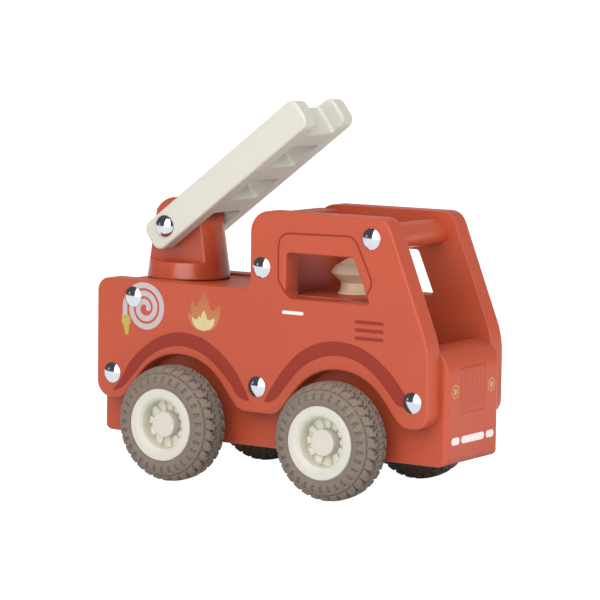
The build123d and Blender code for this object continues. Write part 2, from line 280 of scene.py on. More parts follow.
def plated(name, colour, roughness, scratch):
    """Bright plated or drawn steel with handling scratches."""
    look = Look(name)
    look.set(Base_Color=colour)
    look.shader.inputs["Metallic"].default_value = 1.0
    fine = look.noise(1.0, 4.0, look.mapped((3000.0, 700.0, 500.0), (0.3, 0.5, 0.2)), 0.7)
    smear = look.noise(220.0, 3.0)
    scratches = look.span(fine, 0.55, 0.75, 0.0, scratch)
    rough = look.maths("ADD", scratches, look.span(smear, 0.3, 0.7, 0.0, 0.03))
    look.set(Roughness=look.maths("ADD", rough, roughness), Normal=look.bump(fine, 0.004, 0.35))
    return look.material


def printed(name, colour, second=None):
    """Pad-printed ink, slightly uneven. It may fade to a second colour towards its foot."""
    look = Look(name)
    cover = look.noise(260.0, 4.0, roughness=0.65)
    pin = look.noise(2400.0, 2.0)
    base = look.blend(look.span(cover, 0.3, 0.7), scaled(colour, 0.95), scaled(colour, 1.04))
    if second is not None:
        rise = look.add("ShaderNodeSeparateXYZ", {"Vector": look.place}).outputs["Z"]
        base = look.blend(look.span(rise, FADE_LOW * MM, FADE_HIGH * MM), second, base)
    base = look.blend(look.span(pin, 0.66, 0.78, 0.0, 0.22), base, scaled(colour, 0.82))
    look.set(Base_Color=base, Normal=look.bump(pin, 0.01, 0.3))
    look.shader.inputs["Specular IOR Level"].default_value = 0.25
    look.set(Roughness=look.span(cover, 0.3, 0.7, 0.40, 0.52))
    return look.material


RED = srgb(155, 63, 39)
CREAM = srgb(175, 172, 162)
GRAIN_X = (26.0, 420.0, 420.0)
GRAIN_Y = (420.0, 30.0, 420.0)
GRAIN_Z = (420.0, 420.0, 30.0)
red_panel = painted_wood("red_panel", RED, 0.42, GRAIN_X)
red_core = painted_wood("red_core", RED, 0.44, GRAIN_X, round_edges=0.9, shine=0.34)
red_turned = painted_wood("red_turned", RED, 0.30, GRAIN_Z, round_edges=0.4, wear_and_highlight=0.10, shine=0.55)
red_rod = painted_wood("red_rod", RED, 0.34, GRAIN_Y)
cream_ladder = painted_wood("cream_ladder", CREAM, 0.46, GRAIN_X, (0, LADDER_ANGLE, 0), wear_and_highlight=0.10)
beech = bare_beech("beech", srgb(192, 168, 144), srgb(176, 147, 120))
tyre_rubber = rubber("tyre_rubber", srgb(104, 92, 82))
cream_plastic = moulded("cream_plastic", srgb(177, 171, 163), 0.36)
# Its well gets a painted glow.
cream_rim = moulded("cream_rim", srgb(175, 172, 162), 0.36, well=srgb(216, 213, 194))
nylon = moulded("nylon", srgb(196, 193, 184), 0.42)
chrome = plated("chrome", srgb(200, 204, 209), 0.08, 0.10)
steel = plated("steel", srgb(178, 178, 180), 0.24, 0.18)
ink_dark_red = printed("ink_dark_red", srgb(121, 38, 26))
ink_grille = printed("ink_grille", srgb(142, 50, 36))
ink_grey = printed("ink_grey", srgb(159, 149, 150))
ink_white = printed("ink_white", srgb(198, 190, 186))
ink_mustard = printed("ink_mustard", srgb(154, 138, 68))
ink_orange = printed("ink_orange", srgb(146, 84, 52), srgb(156, 106, 66))
ink_yellow = printed("ink_yellow", srgb(173, 160, 120))
ink_gold = printed("ink_gold", srgb(168, 122, 82))


# ---- mesh helpers ------------------------------------------------------------------------
def solid(name, part, material, sharp=40.0):
    """A closed mesh from millimetre verts and faces, smooth but for its sharp edges."""
    verts, faces = part
    mesh = bpy.data.meshes.new(name)
    mesh.from_pydata([tuple(c * MM for c in v) for v in verts], [], [tuple(f) for f in faces])
    work = bmesh.new()
    work.from_mesh(mesh)
    bmesh.ops.recalc_face_normals(work, faces=work.faces)
    work.to_mesh(mesh)
    work.free()
    mesh.polygons.foreach_set("use_smooth", [True] * len(mesh.polygons))
    mesh.set_sharp_from_angle(angle=math.radians(sharp))
    mesh.materials.append(material)
    return mesh


def shown(name, mesh, body, stands_for=(), place=None):
    """A piece that rides on a body and may stand for CAD nodes."""
    obj = bpy.data.objects.new(name, mesh)
    bpy.context.scene.collection.objects.link(obj)
    if place is not None:
        obj.matrix_world = place
    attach(obj, body)
    if stands_for:
        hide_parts(*stands_for)
    return obj


def joined(parts):
    """Several (verts, faces) lists as one."""
    verts, faces = [], []
    for part_verts, part_faces in parts:
        start = len(verts)
        verts += list(part_verts)
        faces += [tuple(i + start for i in f) for f in part_faces]
    return verts, faces


def softened(points, radius, closed=False, steps=6):
    """A polyline with its corners rounded. Radius is one number or one for each point."""
    count = len(points)
    radii = radius if isinstance(radius, (list, tuple)) else [radius] * count
    out = []
    for i, p in enumerate(points):
        p = Vector(p)
        if (not closed and i in (0, count - 1)) or radii[i] <= 0:
            out.append(tuple(p))
            continue
        before, after = Vector(points[i - 1]) - p, Vector(points[(i + 1) % count]) - p
        turn = before.angle(after)
        reach = min(radii[i] / math.tan(turn / 2), before.length * 0.49, after.length * 0.49)
        start, end = p + before.normalized() * reach, p + after.normalized() * reach
        for k in range(steps + 1):
            t = k / steps
            out.append(tuple(start * (1 - t) ** 2 + p * 2 * t * (1 - t) + end * t * t))
    return out


def spline(points, steps=8):
    """Catmull-Rom curve through the points, ends included."""
    p = [np.array(q, float) for q in points]
    p = [2 * p[0] - p[1]] + p + [2 * p[-1] - p[-2]]
    out = []
    for i in range(1, len(p) - 2):
        for k in range(steps):
            t = k / steps
            a, b, c, d = p[i - 1], p[i], p[i + 1], p[i + 2]
            bend = 2 * a - 5 * b + 4 * c - d
            twist = 3 * b - a - 3 * c + d
            q = 2 * b + (c - a) * t + bend * t * t + twist * t ** 3
            out.append(tuple(q / 2))
    return out + [tuple(p[-2])]


def lathe(outline, steps=96):
    """A closed (radius, height) outline turned about local Z. Points at radius 0 become poles."""
    verts, rings = [], []
    for r, h in outline:
        if r < 1e-6:
            rings.append([len(verts)])
            verts.append((0.0, 0.0, h))
            continue
        rings.append(list(range(len(verts), len(verts) + steps)))
        verts += [(r * math.cos(a), r * math.sin(a), h) for a in turns(steps)]
    faces = []
    for a, b in zip(rings, rings[1:] + rings[:1]):
        if len(a) == 1 and len(b) == 1:
            continue
        for i in range(steps):
            j = (i + 1) % steps
            if len(a) == 1:
                faces.append((a[0], b[j], b[i]))
            elif len(b) == 1:
                faces.append((a[i], a[j], b[0]))
            else:
                faces.append((a[i], a[j], b[j], b[i]))
    return verts, faces


def turns(steps):
    """Even angles round a circle."""
    return [2 * math.pi * i / steps for i in range(steps)]


def axle_frame(x, side, z=None, y=0.0):
    """Local Z along the axle, outward on that side."""
    turn = Matrix.Rotation(math.radians(-90 * side), 4, "X")
    return Matrix.Translation(Vector((x, y, AXLE_Z if z is None else z)) * MM) @ turn


def moved(part, matrix):
    """Verts of a (verts, faces) pair taken through a matrix whose translation is in metres."""
    verts, faces = part
    return [tuple((matrix @ (Vector(v) * MM)) / MM) for v in verts], faces


# ---- printing ----------------------------------------------------------------------------
def ink_sheet(left, right):
    """Thin plate between two matching lines of (x, z) points, top at +INK, bottom sunk."""
    n = len(left)
    verts = [(x, z, INK) for x, z in left] + [(x, z, INK) for x, z in right]
    verts += [(x, z, -INK_SUNK) for x, z in left] + [(x, z, -INK_SUNK) for x, z in right]
    faces = []
    for i in range(n - 1):
        a, b, c, d = i, i + 1, n + i + 1, n + i
        faces.append((a, b, c, d))
        faces.append((2 * n + d, 2 * n + c, 2 * n + b, 2 * n + a))
        faces.append((b, a, 2 * n + a, 2 * n + b))
        faces.append((d, c, 2 * n + c, 2 * n + d))
    faces.append((0, n, 3 * n, 2 * n))
    faces.append((n - 1, 3 * n - 1, 4 * n - 1, 2 * n - 1))
    return verts, faces


def ink_shape(outline):
    """Thin plate with any simple outline."""
    n = len(outline)
    verts = [(x, z, INK) for x, z in outline] + [(x, z, -INK_SUNK) for x, z in outline]
    faces = [tuple(range(n)), tuple(range(2 * n - 1, n - 1, -1))]
    faces += [((i + 1) % n, i, n + i, n + (i + 1) % n) for i in range(n)]
    return verts, faces


def ink_line(path, width, round_ends=True, closed=False):
    """Thin plate of one width along a path of (x, z) points."""
    p = [np.array(q, float) for q in path]
    half = [width / 2] * len(p)
    if closed:
        p, half = p + [p[0]], half + [half[0]]
    elif round_ends:
        head, tail = p[0] - p[1], p[-1] - p[-2]
        head, tail = head / np.linalg.norm(head), tail / np.linalg.norm(tail)
        for k in range(1, 7):
            out = math.sin(k * math.pi / 12) * width / 2
            wide = max(math.cos(k * math.pi / 12), 0.02) * width / 2
            p, half = [path[0] + head * out] + p + [path[-1] + tail * out], [wide] + half + [wide]
    left, right = [], []
    for i, q in enumerate(p):
        if closed:
            along = p[(i + 1) % (len(p) - 1)] - p[(i - 1) % (len(p) - 1)]
        else:
            along = p[min(i + 1, len(p) - 1)] - p[max(i - 1, 0)]
        along = along / np.linalg.norm(along)
        across = np.array([-along[1], along[0]]) * half[i]
        left.append(tuple(q + across))
        right.append(tuple(q - across))
    return ink_sheet(left, right)


def even(points, count):
    """The same line as evenly spaced points."""
    p = np.array(points, float)
    run = np.concatenate([[0], np.cumsum(np.linalg.norm(np.diff(p, axis=0), axis=1))])
    at = np.linspace(0, run[-1], count)
    return list(zip(np.interp(at, run, p[:, 0]), np.interp(at, run, p[:, 1])))


# Each edge of a band: points at its rear foot, then the crown's centre, half axes and the angles
# it runs between in degrees, then points at its front foot.
REAR_BAND_OUT = ([(-84.2, 39.0), (-79.5, 44.8)], (-42.8, -35.1), (57.7, 105.3), (123.4, 68.3),
                 [(-15.7, 57.9), (-9.9, 51.0), (-4.1, 41.1)])
REAR_BAND_IN = ([(-81.8, 39.2), (-77.0, 42.1)], (-43.7, 9.0), (39.4, 54.5), (133.1, 56.8),
                [(-15.6, 48.4), (-11.2, 42.9), (-6.4, 40.7)])
FRONT_BAND_OUT = ([(3.8, 41.1), (7.1, 47.1), (12.5, 55.0)], (44.6, 39.0), (35.4, 33.7),
                  (139.1, 53.5), [(72.3, 61.0), (77.7, 55.2), (82.6, 48.9)])
FRONT_BAND_IN = ([(7.1, 41.4), (11.0, 43.6)], (44.5, 17.5), (37.5, 48.6), (134.9, 51.5),
                 [(72.5, 50.6), (77.0, 46.0), (82.4, 45.2)])
CROWN_POINTS = 11
BAND_POINTS = 90
DOOR_LINE = [(15.5, 92.6), (11.1, 98.6), (11.0, 120.6), (51.0, 121.2), (54.0, 118.0), (62.5, 100.6),
             (59.7, 95.0)]
DOOR_RADII = [0, 6.0, 7.0, 4.5, 3.0, 5.0, 0]
DOOR_LINE_WIDTH = 1.0
VENT_X, VENT_Z, VENT_WIDTH = (54.2, 68.0), (82.5, 78.8, 75.1), 1.7
DOOR_HANDLE_X, DOOR_HANDLE_Z, DOOR_HANDLE_WIDTH = (14.3, 24.5), 84.05, 1.6
HOSE_MIDDLE = (-65.2, 80.2)
HOSE_RADIUS, HOSE_PITCH, HOSE_WIDTH = 10.85, 3.92, 2.75
HOSE_DROP_Z = (75.8, 77.5)
HOSE_QUARTERS = 9
HOSE_STEPS = 16


def band_edge(rear_foot, centre, half_axes, sweep, front_foot):
    """Edge of a painted band over an arch: an arc of an ellipse that runs out into its feet."""
    crown = [(centre[0] + half_axes[0] * math.cos(a), centre[1] + half_axes[1] * math.sin(a))
             for a in np.radians(np.linspace(*sweep, CROWN_POINTS))]
    return even(spline(rear_foot + crown + front_foot), BAND_POINTS)


def band(outer, inner):
    """Painted band over an arch, between its two edges."""
    return ink_sheet(band_edge(*inner), band_edge(*outer))


def hose_path():
    """Coiled hose: up to the coil's rear side, then over its top and spiralling inward."""
    drop_x = HOSE_MIDDLE[0] - HOSE_RADIUS - HOSE_PITCH / 4
    path = [(drop_x, z) for z in HOSE_DROP_Z]
    for k in range(-HOSE_STEPS, HOSE_QUARTERS * HOSE_STEPS + 1):
        quarters = k / HOSE_STEPS
        r = HOSE_RADIUS - HOSE_PITCH / 4 * quarters
        angle = math.radians(90 - 90 * quarters)
        path.append((HOSE_MIDDLE[0] + r * math.cos(angle), HOSE_MIDDLE[1] + r * math.sin(angle)))
    return path


NOZZLE = [(-79.0, 76.0), (-74.3, 76.0), (-74.3, 74.9), (-73.7, 74.7), (-73.7, 72.2), (-74.6, 71.4),
          (-74.7, 68.6), (-75.0, 66.6), (-76.6, 66.6), (-77.3, 68.8), (-77.8, 71.4), (-79.0, 72.2),
          (-79.0, 73.6), (-78.6, 74.2)]


def flame(parts):
    """Closed outline from smooth arcs that meet at sharp tips and valleys."""
    line = []
    for arc in parts:
        line += spline(arc, 6)[:-1]
    return line


FLAME_OUT = [[(-31.0, 71.4), (-35.6, 72.6), (-38.9, 75.9), (-40.3, 81.0)],
             [(-40.3, 81.0), (-38.9, 79.6), (-37.8, 79.4)],
             [(-37.8, 79.4), (-38.5, 82.9), (-37.6, 86.2)],
             [(-37.6, 86.2), (-36.5, 84.3), (-35.0, 83.0)],
             [(-35.0, 83.0), (-33.1, 86.6), (-30.9, 91.0)],
             [(-30.9, 91.0), (-28.4, 86.6), (-27.2, 82.4)],
             [(-27.2, 82.4), (-25.6, 81.6), (-24.6, 82.0)],
             [(-24.6, 82.0), (-23.0, 83.8), (-21.4, 84.4)],
             [(-21.4, 84.4), (-21.6, 79.6), (-23.2, 75.6), (-26.4, 72.6), (-31.0, 71.4)]]
FLAME_IN = [[(-31.0, 71.9), (-34.6, 72.8), (-37.0, 75.2), (-37.6, 78.2)],
            [(-37.6, 78.2), (-35.8, 77.0), (-34.6, 77.2)],
            [(-34.6, 77.2), (-33.2, 78.8), (-32.6, 77.6)],
            [(-32.6, 77.6), (-31.9, 79.8), (-30.8, 81.6)],
            [(-30.8, 81.6), (-29.6, 79.6), (-28.8, 77.4)],
            [(-28.8, 77.4), (-27.0, 77.2), (-24.6, 78.4)],
            [(-24.6, 78.4), (-25.0, 75.4), (-27.2, 72.9), (-31.0, 71.9)]]


def side_prints():
    """Each ink with the (verts, faces) of what it prints on one side panel."""
    vents = [ink_line([(x, z) for x in VENT_X], VENT_WIDTH) for z in VENT_Z]
    door_path = softened(DOOR_LINE, DOOR_RADII, steps=10)
    door = ink_line(door_path, DOOR_LINE_WIDTH, round_ends=False)
    door_handle = ink_line([(x, DOOR_HANDLE_Z) for x in DOOR_HANDLE_X], DOOR_HANDLE_WIDTH)
    bands = [band(REAR_BAND_OUT, REAR_BAND_IN), band(FRONT_BAND_OUT, FRONT_BAND_IN)]
    nozzle = ink_shape(softened(NOZZLE, 0.35, closed=True, steps=3))
    return {"dark_red": (ink_dark_red, bands + vents + [door]),
            "grey": (ink_grey, [ink_line(hose_path(), HOSE_WIDTH)]),
            "mustard": (ink_mustard, [lift(nozzle)]),
            "orange": (ink_orange, [ink_shape(flame(FLAME_OUT))]),
            "yellow": (ink_yellow, [lift(ink_shape(flame(FLAME_IN)))]),
            "white": (ink_white, [door_handle])}


def lift(part):
    """A second ink printed over the first."""
    verts, faces = part
    return [(x, z, h + OVERPRINT if h > 0 else h) for x, z, h in verts], faces


def on_panel(part, side):
    """From (x, z, height) to the outside of a side panel."""
    verts, faces = part
    placed = [(x, side * (PANEL_FACE + h), z) for x, z, h in verts]
    return placed, [tuple(reversed(f)) for f in faces] if side < 0 else faces


def on_nose(part):
    """From (y, z, height) to the front face of the core."""
    verts, faces = part
    return [(FRONT_FACE + h, y, z) for y, z, h in verts], faces


def circle(y, z, radius, steps):
    """Points round a circle on the front face."""
    return [(y + radius * math.cos(a), z + radius * math.sin(a)) for a in turns(steps)]


def ring(y, z, radius, width):
    """Printed ring."""
    return ink_line(circle(y, z, radius, 40), width, closed=True)


def disc(y, z, radius):
    """Printed dot."""
    return ink_shape(circle(y, z, radius, 32))


for hand, side in SIDES:
    for ink_name, (ink, parts) in side_prints().items():
        name = hand + "_print_" + ink_name
        printing = joined([on_panel(p, side) for p in parts])
        shown(name, solid(name, printing, ink), "body")

GRILLE_FRAME = [(-10.8, 41.9), (10.8, 41.9), (10.8, 62.3), (-10.8, 62.3)]
GRILLE_CORNER, GRILLE_FRAME_WIDTH = 1.8, 0.55
GRILLE_BAR_COUNT, GRILLE_BAR_PITCH, GRILLE_BAR_WIDTH = 8, 2.4, 0.5
GRILLE_BAR_Z = (43.6, 60.6)
LAMPS = [(-16.3, 52.2), (16.3, 52.2)]
LAMP_RING_RADIUS, LAMP_RING_WIDTH, LAMP_DISC_RADIUS = 2.95, 0.6, 1.55
MARK_BARS = [(-17.4, -13.6), (-8.6, 8.6), (13.6, 17.4)]
MARK_Z, MARK_WIDTH = 29.4, 3.4

grille_frame = softened(GRILLE_FRAME, GRILLE_CORNER, closed=True)
grille = [ink_line(grille_frame, GRILLE_FRAME_WIDTH, closed=True)]
for bar in range(GRILLE_BAR_COUNT):
    bar_y = (bar - (GRILLE_BAR_COUNT - 1) / 2) * GRILLE_BAR_PITCH
    grille.append(ink_line([(bar_y, z) for z in GRILLE_BAR_Z], GRILLE_BAR_WIDTH))
lamps = [ring(y, z, LAMP_RING_RADIUS, LAMP_RING_WIDTH) for y, z in LAMPS]
lamps += [disc(y, z, LAMP_DISC_RADIUS) for y, z in LAMPS]
mark = [ink_line([(y, MARK_Z) for y in ends], MARK_WIDTH) for ends in MARK_BARS]
front_prints = {"grille": (ink_grille, grille),
                "lamps": (ink_gold, lamps),
                "mark": (ink_white, mark)}
for print_name, (ink, parts) in front_prints.items():
    name = "front_print_" + print_name
    shown(name, solid(name, joined([on_nose(p) for p in parts]), ink), "body")


# ---- wheels ------------------------------------------------------------------------------
def smooth(edge_low, edge_high, x):
    """0 before one edge, 1 past the other, eased between them."""
    t = np.clip((x - edge_low) / (edge_high - edge_low), 0, 1)
    return t * t * (3 - 2 * t)


def slit(distance, half_width, soft=0.32):
    """1 in the middle of a groove, 0 outside it."""
    return 1 - smooth(half_width - soft / 2, half_width + soft / 2, np.abs(distance))


def most(*fields):
    """The largest of several fields at each place."""
    return functools.reduce(np.maximum, fields)


def wrapped(u):
    """Signed distance to the nearest whole period."""
    return (u + 0.5) % 1.0 - 0.5


def tread_depth(u, v, r):
    """How far the tyre's surface is cut in, for a place round it (u, in pattern periods), across it
    (v, from its middle plane) and its radius."""
    a = np.abs(v)
    u = np.where(v > 0, u, 0.5 - u)
    period = 2 * math.pi * r / TREAD_PERIODS
    on_tread = smooth(24.45, 24.75, r) * (a < 8.6)
    zig = np.abs(((2 * u) % 1.0) - 0.5) * 2
    chain = slit(a - (2.45 + 0.75 * zig), 0.44)
    shoulder_width = 0.52 + 0.24 * smooth(6.2, 4.2, a)
    shoulder = slit(wrapped(u + 0.075 * (7.6 - a)) * period, shoulder_width, 0.45)
    shoulder = shoulder * smooth(2.6, 3.0, a)
    short = slit(wrapped(u - 0.62 - 0.085 * (2.4 - a)) * period, 0.42)
    short = short * smooth(2.2, 2.5, a) * smooth(5.1, 4.5, a)
    inner = slit(wrapped(2 * u - 0.30 * (2.4 - a)) * period / 2, 0.26)
    inner = inner * smooth(2.9, 2.4, a) * smooth(0.35, 0.8, a)
    spot = slit(np.hypot(wrapped(2 * u - 0.55) * period / 2, a - 1.15), 0.5)
    cut = most(chain, shoulder, short, inner, spot)
    depth = cut * on_tread * (0.55 + 1.25 * smooth(6.4, 4.6, a))
    on_side = a > 5
    groove = slit(r - 24.55, 0.28, 0.44) * on_side * 0.45
    bar = slit(wrapped(u + 0.5) * period, 0.70, 0.20)
    bar = bar * smooth(19.3, 20.6, r) * smooth(23.9, 22.6, r)
    step = slit(r - 18.35, 0.18, 0.2) * on_side * 0.22
    return most(depth, groove, bar * 0.75, step)


def tyre_profile():
    """(radius, height from the middle plane) from the outer bead to the inner one. The rows are
    close together where the pattern is cut and wider on the plain part of the side."""
    half = TYRE_HALF
    side = [(BEAD_R, half - 0.45), (17.9, half - 0.12), (19.4, half), (21.3, half),
            (22.9, half - 0.75), (24.4, half - 1.95), (25.6, half - 3.0), (26.5, half - 4.1),
            (27.15, half - 5.5), (27.42, half - 7.0), (TYRE_R, half - 8.6), (TYRE_R, 0.0)]
    line = np.array(spline(side, 24))
    run = np.concatenate([[0], np.cumsum(np.linalg.norm(np.diff(line, axis=0), axis=1))])
    at = [0.0]
    while at[-1] < run[-1]:
        r = np.interp(at[-1], run, line[:, 0])
        at.append(at[-1] + (PLAIN_ROW if r < 19.9 and at[-1] < 3 else CUT_ROW))
    at = np.array(at[:-1])
    half_line = np.stack([np.interp(at, run, line[:, 0]), np.interp(at, run, line[:, 1])], 1)
    return np.concatenate([half_line, (half_line * (1, -1))[::-1]])


def tyre_mesh():
    """Hollow tyre whose outside is cut in by the tread pattern."""
    profile = tyre_profile()
    along = np.gradient(profile, axis=0)
    normal = np.stack([along[:, 1], -along[:, 0]], 1)
    normal /= -np.linalg.norm(normal, axis=1)[:, None]
    count = TREAD_PERIODS * TREAD_STEPS
    u = np.arange(count) / TREAD_STEPS
    depth = tread_depth(u[None, :], profile[:, 1:2], profile[:, 0:1])
    r = profile[:, 0:1] - normal[:, 0:1] * depth
    h = profile[:, 1:2] - normal[:, 1:2] * depth + WHEEL_FACE - TYRE_HALF
    angle = 2 * math.pi * np.arange(count) / count
    grid = np.stack([r * np.cos(angle), r * np.sin(angle), h * np.ones(count)], -1)
    seat = [(16.45, WHEEL_FACE - 2 * TYRE_HALF + 0.5), (16.45, WHEEL_FACE - 1.5)]
    bead = np.array([[(br * math.cos(a), br * math.sin(a), bh) for a in angle] for br, bh in seat])
    verts = np.concatenate([grid, bead]).reshape(-1, 3)
    rows = len(profile) + len(seat)
    i, j = np.meshgrid(np.arange(rows), np.arange(count), indexing="ij")
    k, m = (i + 1) % rows, (j + 1) % count
    faces = np.stack([i * count + j, k * count + j, k * count + m, i * count + m], -1)
    return verts.tolist(), faces.reshape(-1, 4).tolist()


def rim_part():
    """Wheel centre: rounded lip, dished slope, deep well with ribs between its wall and the hub."""
    face = WHEEL_FACE + RIM_PROUD
    back = WHEEL_FACE - 2 * TYRE_HALF + 1.0
    well_floor, rib_top = face - WELL_DEPTH, face - RIB_FACE_DEPTH
    well = [(2.55, 25.6), (2.55, well_floor - 4), (4.05, well_floor - 4), (4.05, well_floor)]
    well += [(5.6, well_floor)]
    ribs = [(6.5 + 0.6 * k, None) for k in range(8)] + [(11.48, None)]
    wall = softened([(11.6, rib_top - 0.1), (11.6, face - 1.9), (12.5, face - 0.35), (13.9, face),
                     (16.7, face), (BEAD_R, face - 0.9)], [0, 0.9, 1.2, 1.4, 0.5, 0], steps=5)
    rear = [(BEAD_R, face - 1.8), (16.4, face - 1.8), (16.4, back), (13.6, back)]
    rear += [(12.6, well_floor - 5.0), (8.0, well_floor - 6.5), (8.0, back - 1.0), (5.5, 25.6)]
    steps = RIB_COUNT * RIB_STEPS
    outline = well + ribs + wall + rear
    verts, faces = lathe([(r, well_floor if h is None else h) for r, h in outline], steps)
    for row, (r, h) in enumerate(outline):
        if h is not None:
            continue
        for k in range(steps):
            off = abs(wrapped(k / RIB_STEPS)) * 2 * math.pi * r / RIB_COUNT
            half = 1.30 + 0.13 * (r - 6.5)
            rise = float(1 - smooth(half - 0.12, half + 0.12, off))
            x, y, _ = verts[row * steps + k]
            level = well_floor + (rib_top - well_floor) * rise - 0.25 * (1 - rise)
            verts[row * steps + k] = (x, y, level)
    return verts, faces


def cap_part():
    """Round plug over the axle's end, its face set back from the rim's."""
    face = WHEEL_FACE + RIM_PROUD
    seat = face - CAP_SEAT_DEPTH
    plug = [(0, seat - 4.0), (4.0, seat - 4.0), (4.0, seat)]
    crown = [(6.3, seat), (6.3, face - 3.2), (6.05, face - 2.82), (5.5, face - 2.62)]
    crown += [(3.0, face - 2.6), (0, face - 2.6)]
    return lathe(plug + crown, 96)


WHEEL_MESHES = {"tyre": (solid("tyre", tyre_mesh(), tyre_rubber, 60.0), "tyre"),
                "rim": (solid("rim", rim_part(), cream_rim, 35.0), "cream_plastic"),
                "hub_cap": (solid("hub_cap", cap_part(), cream_plastic, 35.0), "cream_plastic")}
RIM_TURN = {"front_right": 1.2, "rear_right": -3.8, "front_left": 4.0, "rear_left": 2.5}
for end, x in AXLE_X.items():
    for hand, side in SIDES:
        turned = Matrix.Rotation(math.radians(RIM_TURN[end + "_" + hand]), 4, "Z")
        for kind, (mesh, slot) in WHEEL_MESHES.items():
            node = end + "_" + hand + "_" + kind
            place = axle_frame(x, side) if kind == "tyre" else axle_frame(x, side) @ turned
            shown(node + "_detail", mesh, end + "_wheels", (node,), place)


# ---- pins --------------------------------------------------------------------------------
def dome(radius, height, shank_radius, shank):
    """Domed head with a short skirt, standing on local Z = 0, and its shank below."""
    skirt, slices = 0.22, 14
    ball = (radius ** 2 + (height - skirt) ** 2) / (2 * (height - skirt))
    top = math.asin(radius / ball)
    slopes = [top * (1 - k / slices) for k in range(slices)]
    curve = [(ball * math.sin(a), height - ball + ball * math.cos(a)) for a in slopes]
    foot = [(0, -shank), (shank_radius, -shank), (shank_radius, 0.0)]
    foot += [(radius - 0.1, 0.0), (radius, 0.08)]
    return lathe(foot + curve + [(0, height)], 64)


for hand, side in SIDES:
    head = dome(PANEL_PIN_RADIUS, PANEL_PIN_HEIGHT, PANEL_SHANK_RADIUS, PANEL_SHANK)
    heads = [moved(head, axle_frame(x, side, z, side * PANEL_FACE)) for x, z in PIN_PLACES]
    name = hand + "_panel_pins"
    shown(name + "_detail", solid(name, joined(heads), chrome), "body", (name,))
for name, side in (("ladder_pin", -1), ("ladder_pin_cap", 1)):
    shank = 2 * LADDER_HALF if side < 0 else PIVOT_CAP_SHANK
    part = dome(PIVOT_HEAD_RADIUS, PIVOT_HEAD_HEIGHT, PIVOT_SHANK_RADIUS, shank)
    place = axle_frame(PIVOT_X, side, PIVOT_Z, side * LADDER_HALF)
    shown(name + "_detail", solid(name, moved(part, place), chrome), "ladder", (name,))


# ---- driver ------------------------------------------------------------------------------
def driver_part():
    """Turned figure: glued peg, body with a collar, brimmed helmet."""
    foot = DRIVER_FOOT
    peg = [(0, foot), (5.4, foot), (6.0, foot + 0.6), (6.0, foot + 12.0)]
    body = [(8.15, 91.25), (8.1, 91.75), (7.3, 92.55), (7.0, 93.4), (6.85, 94.8), (6.72, 96.2)]
    brim = [(6.7, 96.5), (7.6, 97.4), (9.4, 99.1), (10.9, 100.5), (11.3, 101.1), (11.15, 101.8)]
    helmet = [(9.8, 103.8), (8.6, 104.7), (7.3, 105.4), (5.7, 106.5), (3.7, 107.6), (1.9, 108.08)]
    helmet += [(0, 108.18)]
    shape = peg + spline(body, 4) + spline(brim + helmet, 4)
    return lathe([(max(r, 0.0), h) for r, h in shape[:-1]] + [(0, helmet[-1][1])], 96)


driver_place = Matrix.Translation(Vector((DRIVER_X, 0, 0)) * MM)
driver_turned = solid("driver_turned", driver_part(), beech, 34.0)
shown("driver_detail", driver_turned, "body", ("driver",), driver_place)


# ---- CAD pieces that stay, with their finish ---------------------------------------------
FINISH = [(red_core, ["chassis_block", "rear_board", "deck_plank", "cab_rear_wall", "seat_block"]),
          (red_panel, ["right_panel", "left_panel"]),
          (red_rod, ["handle_rod"]),
          (red_turned, ["turret"]),
          (cream_ladder, ["ladder"]),
          (steel, ["turret_spindle", "turret_washer", "turret_retainer", "front_axle", "rear_axle",
                   "front_wheel_spacers", "rear_wheel_spacers"]),
          (nylon, ["front_axle_bushes", "rear_axle_bushes", "ladder_washers"])]
for material, nodes in FINISH:
    for node in nodes:
        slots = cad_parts[node].data.materials
        slots.clear()
        slots.append(material)


# ---- floor, light, camera (metres and watts) ---------------------------------------------
FLOOR_HALF = 30.0
FLOOR_GLOW = 1.0
SHADE_HALF_X = 0.07
SHADE_MIDDLE_Y, SHADE_HALF_Y = 0.022, 0.022
SHADE_FADE = 0.06
SHADE_DARK, SHADE_BRIGHT = 0.05, 1.05
ROOM_GLOW = 0.05
ROOM_MIRRORED = 0.10
BACKDROP_GLOW = 1.05
BACKDROP_MIRRORED = 0.5
BACKDROP_FROM, BACKDROP_FULL = 0.1, 0.5
TOY = (0, 0, 0.06)
# name, place, aim, size, power, whether it shows in glossy surfaces
LIGHTS = [("softbox", (0.50, -1.52, 1.6), (0, 0, 1.6), (1.55, 3.1), 56.0, True),
          ("key", (-0.5, -1.5, 1.0), TOY, (1.0, 1.0), 8.0, False),
          ("top", (-0.7, -0.4, 1.7), TOY, (1.4, 1.4), 20.0, False),
          ("front", (1.4, -0.25, 0.75), (0, 0, 0.1), (0.9, 0.5), 15.0, False),
          ("front_card", (0.30, -0.03, 0.002), (0.30, -0.03, 1), (0.32, 0.40), 0.50, False),
          ("behind", (-0.9, 1.3, 0.9), (0, 0, 0.08), (0.9, 0.9), 14.0, False),
          ("reflector", (-1.29, -0.94, 0.38), (0, 0, 0.1), (0.35, 0.30), 0.23, True)]
VIEW_AZIMUTH, VIEW_ELEVATION, VIEW_ROLL = (math.radians(a) for a in (33.446, 6.192, 0.772))
CAMERA_BACK, CAMERA_RIGHT, CAMERA_UP = 1410.73, 1.975, 85.34
SENSOR, LENS = 36.0, 177.41


def area(name, place, aim, size, power, glossy):
    """Rectangular light that the camera doesn't see."""
    light = bpy.data.lights.new(name, "AREA")
    light.shape, light.size, light.size_y = "RECTANGLE", size[0], size[1]
    light.energy = power
    obj = bpy.data.objects.new(name, light)
    bpy.context.scene.collection.objects.link(obj)
    obj.location = place
    obj.rotation_euler = (Vector(aim) - Vector(place)).to_track_quat("-Z", "Y").to_euler()
    obj.visible_glossy = glossy
    obj.visible_camera = False


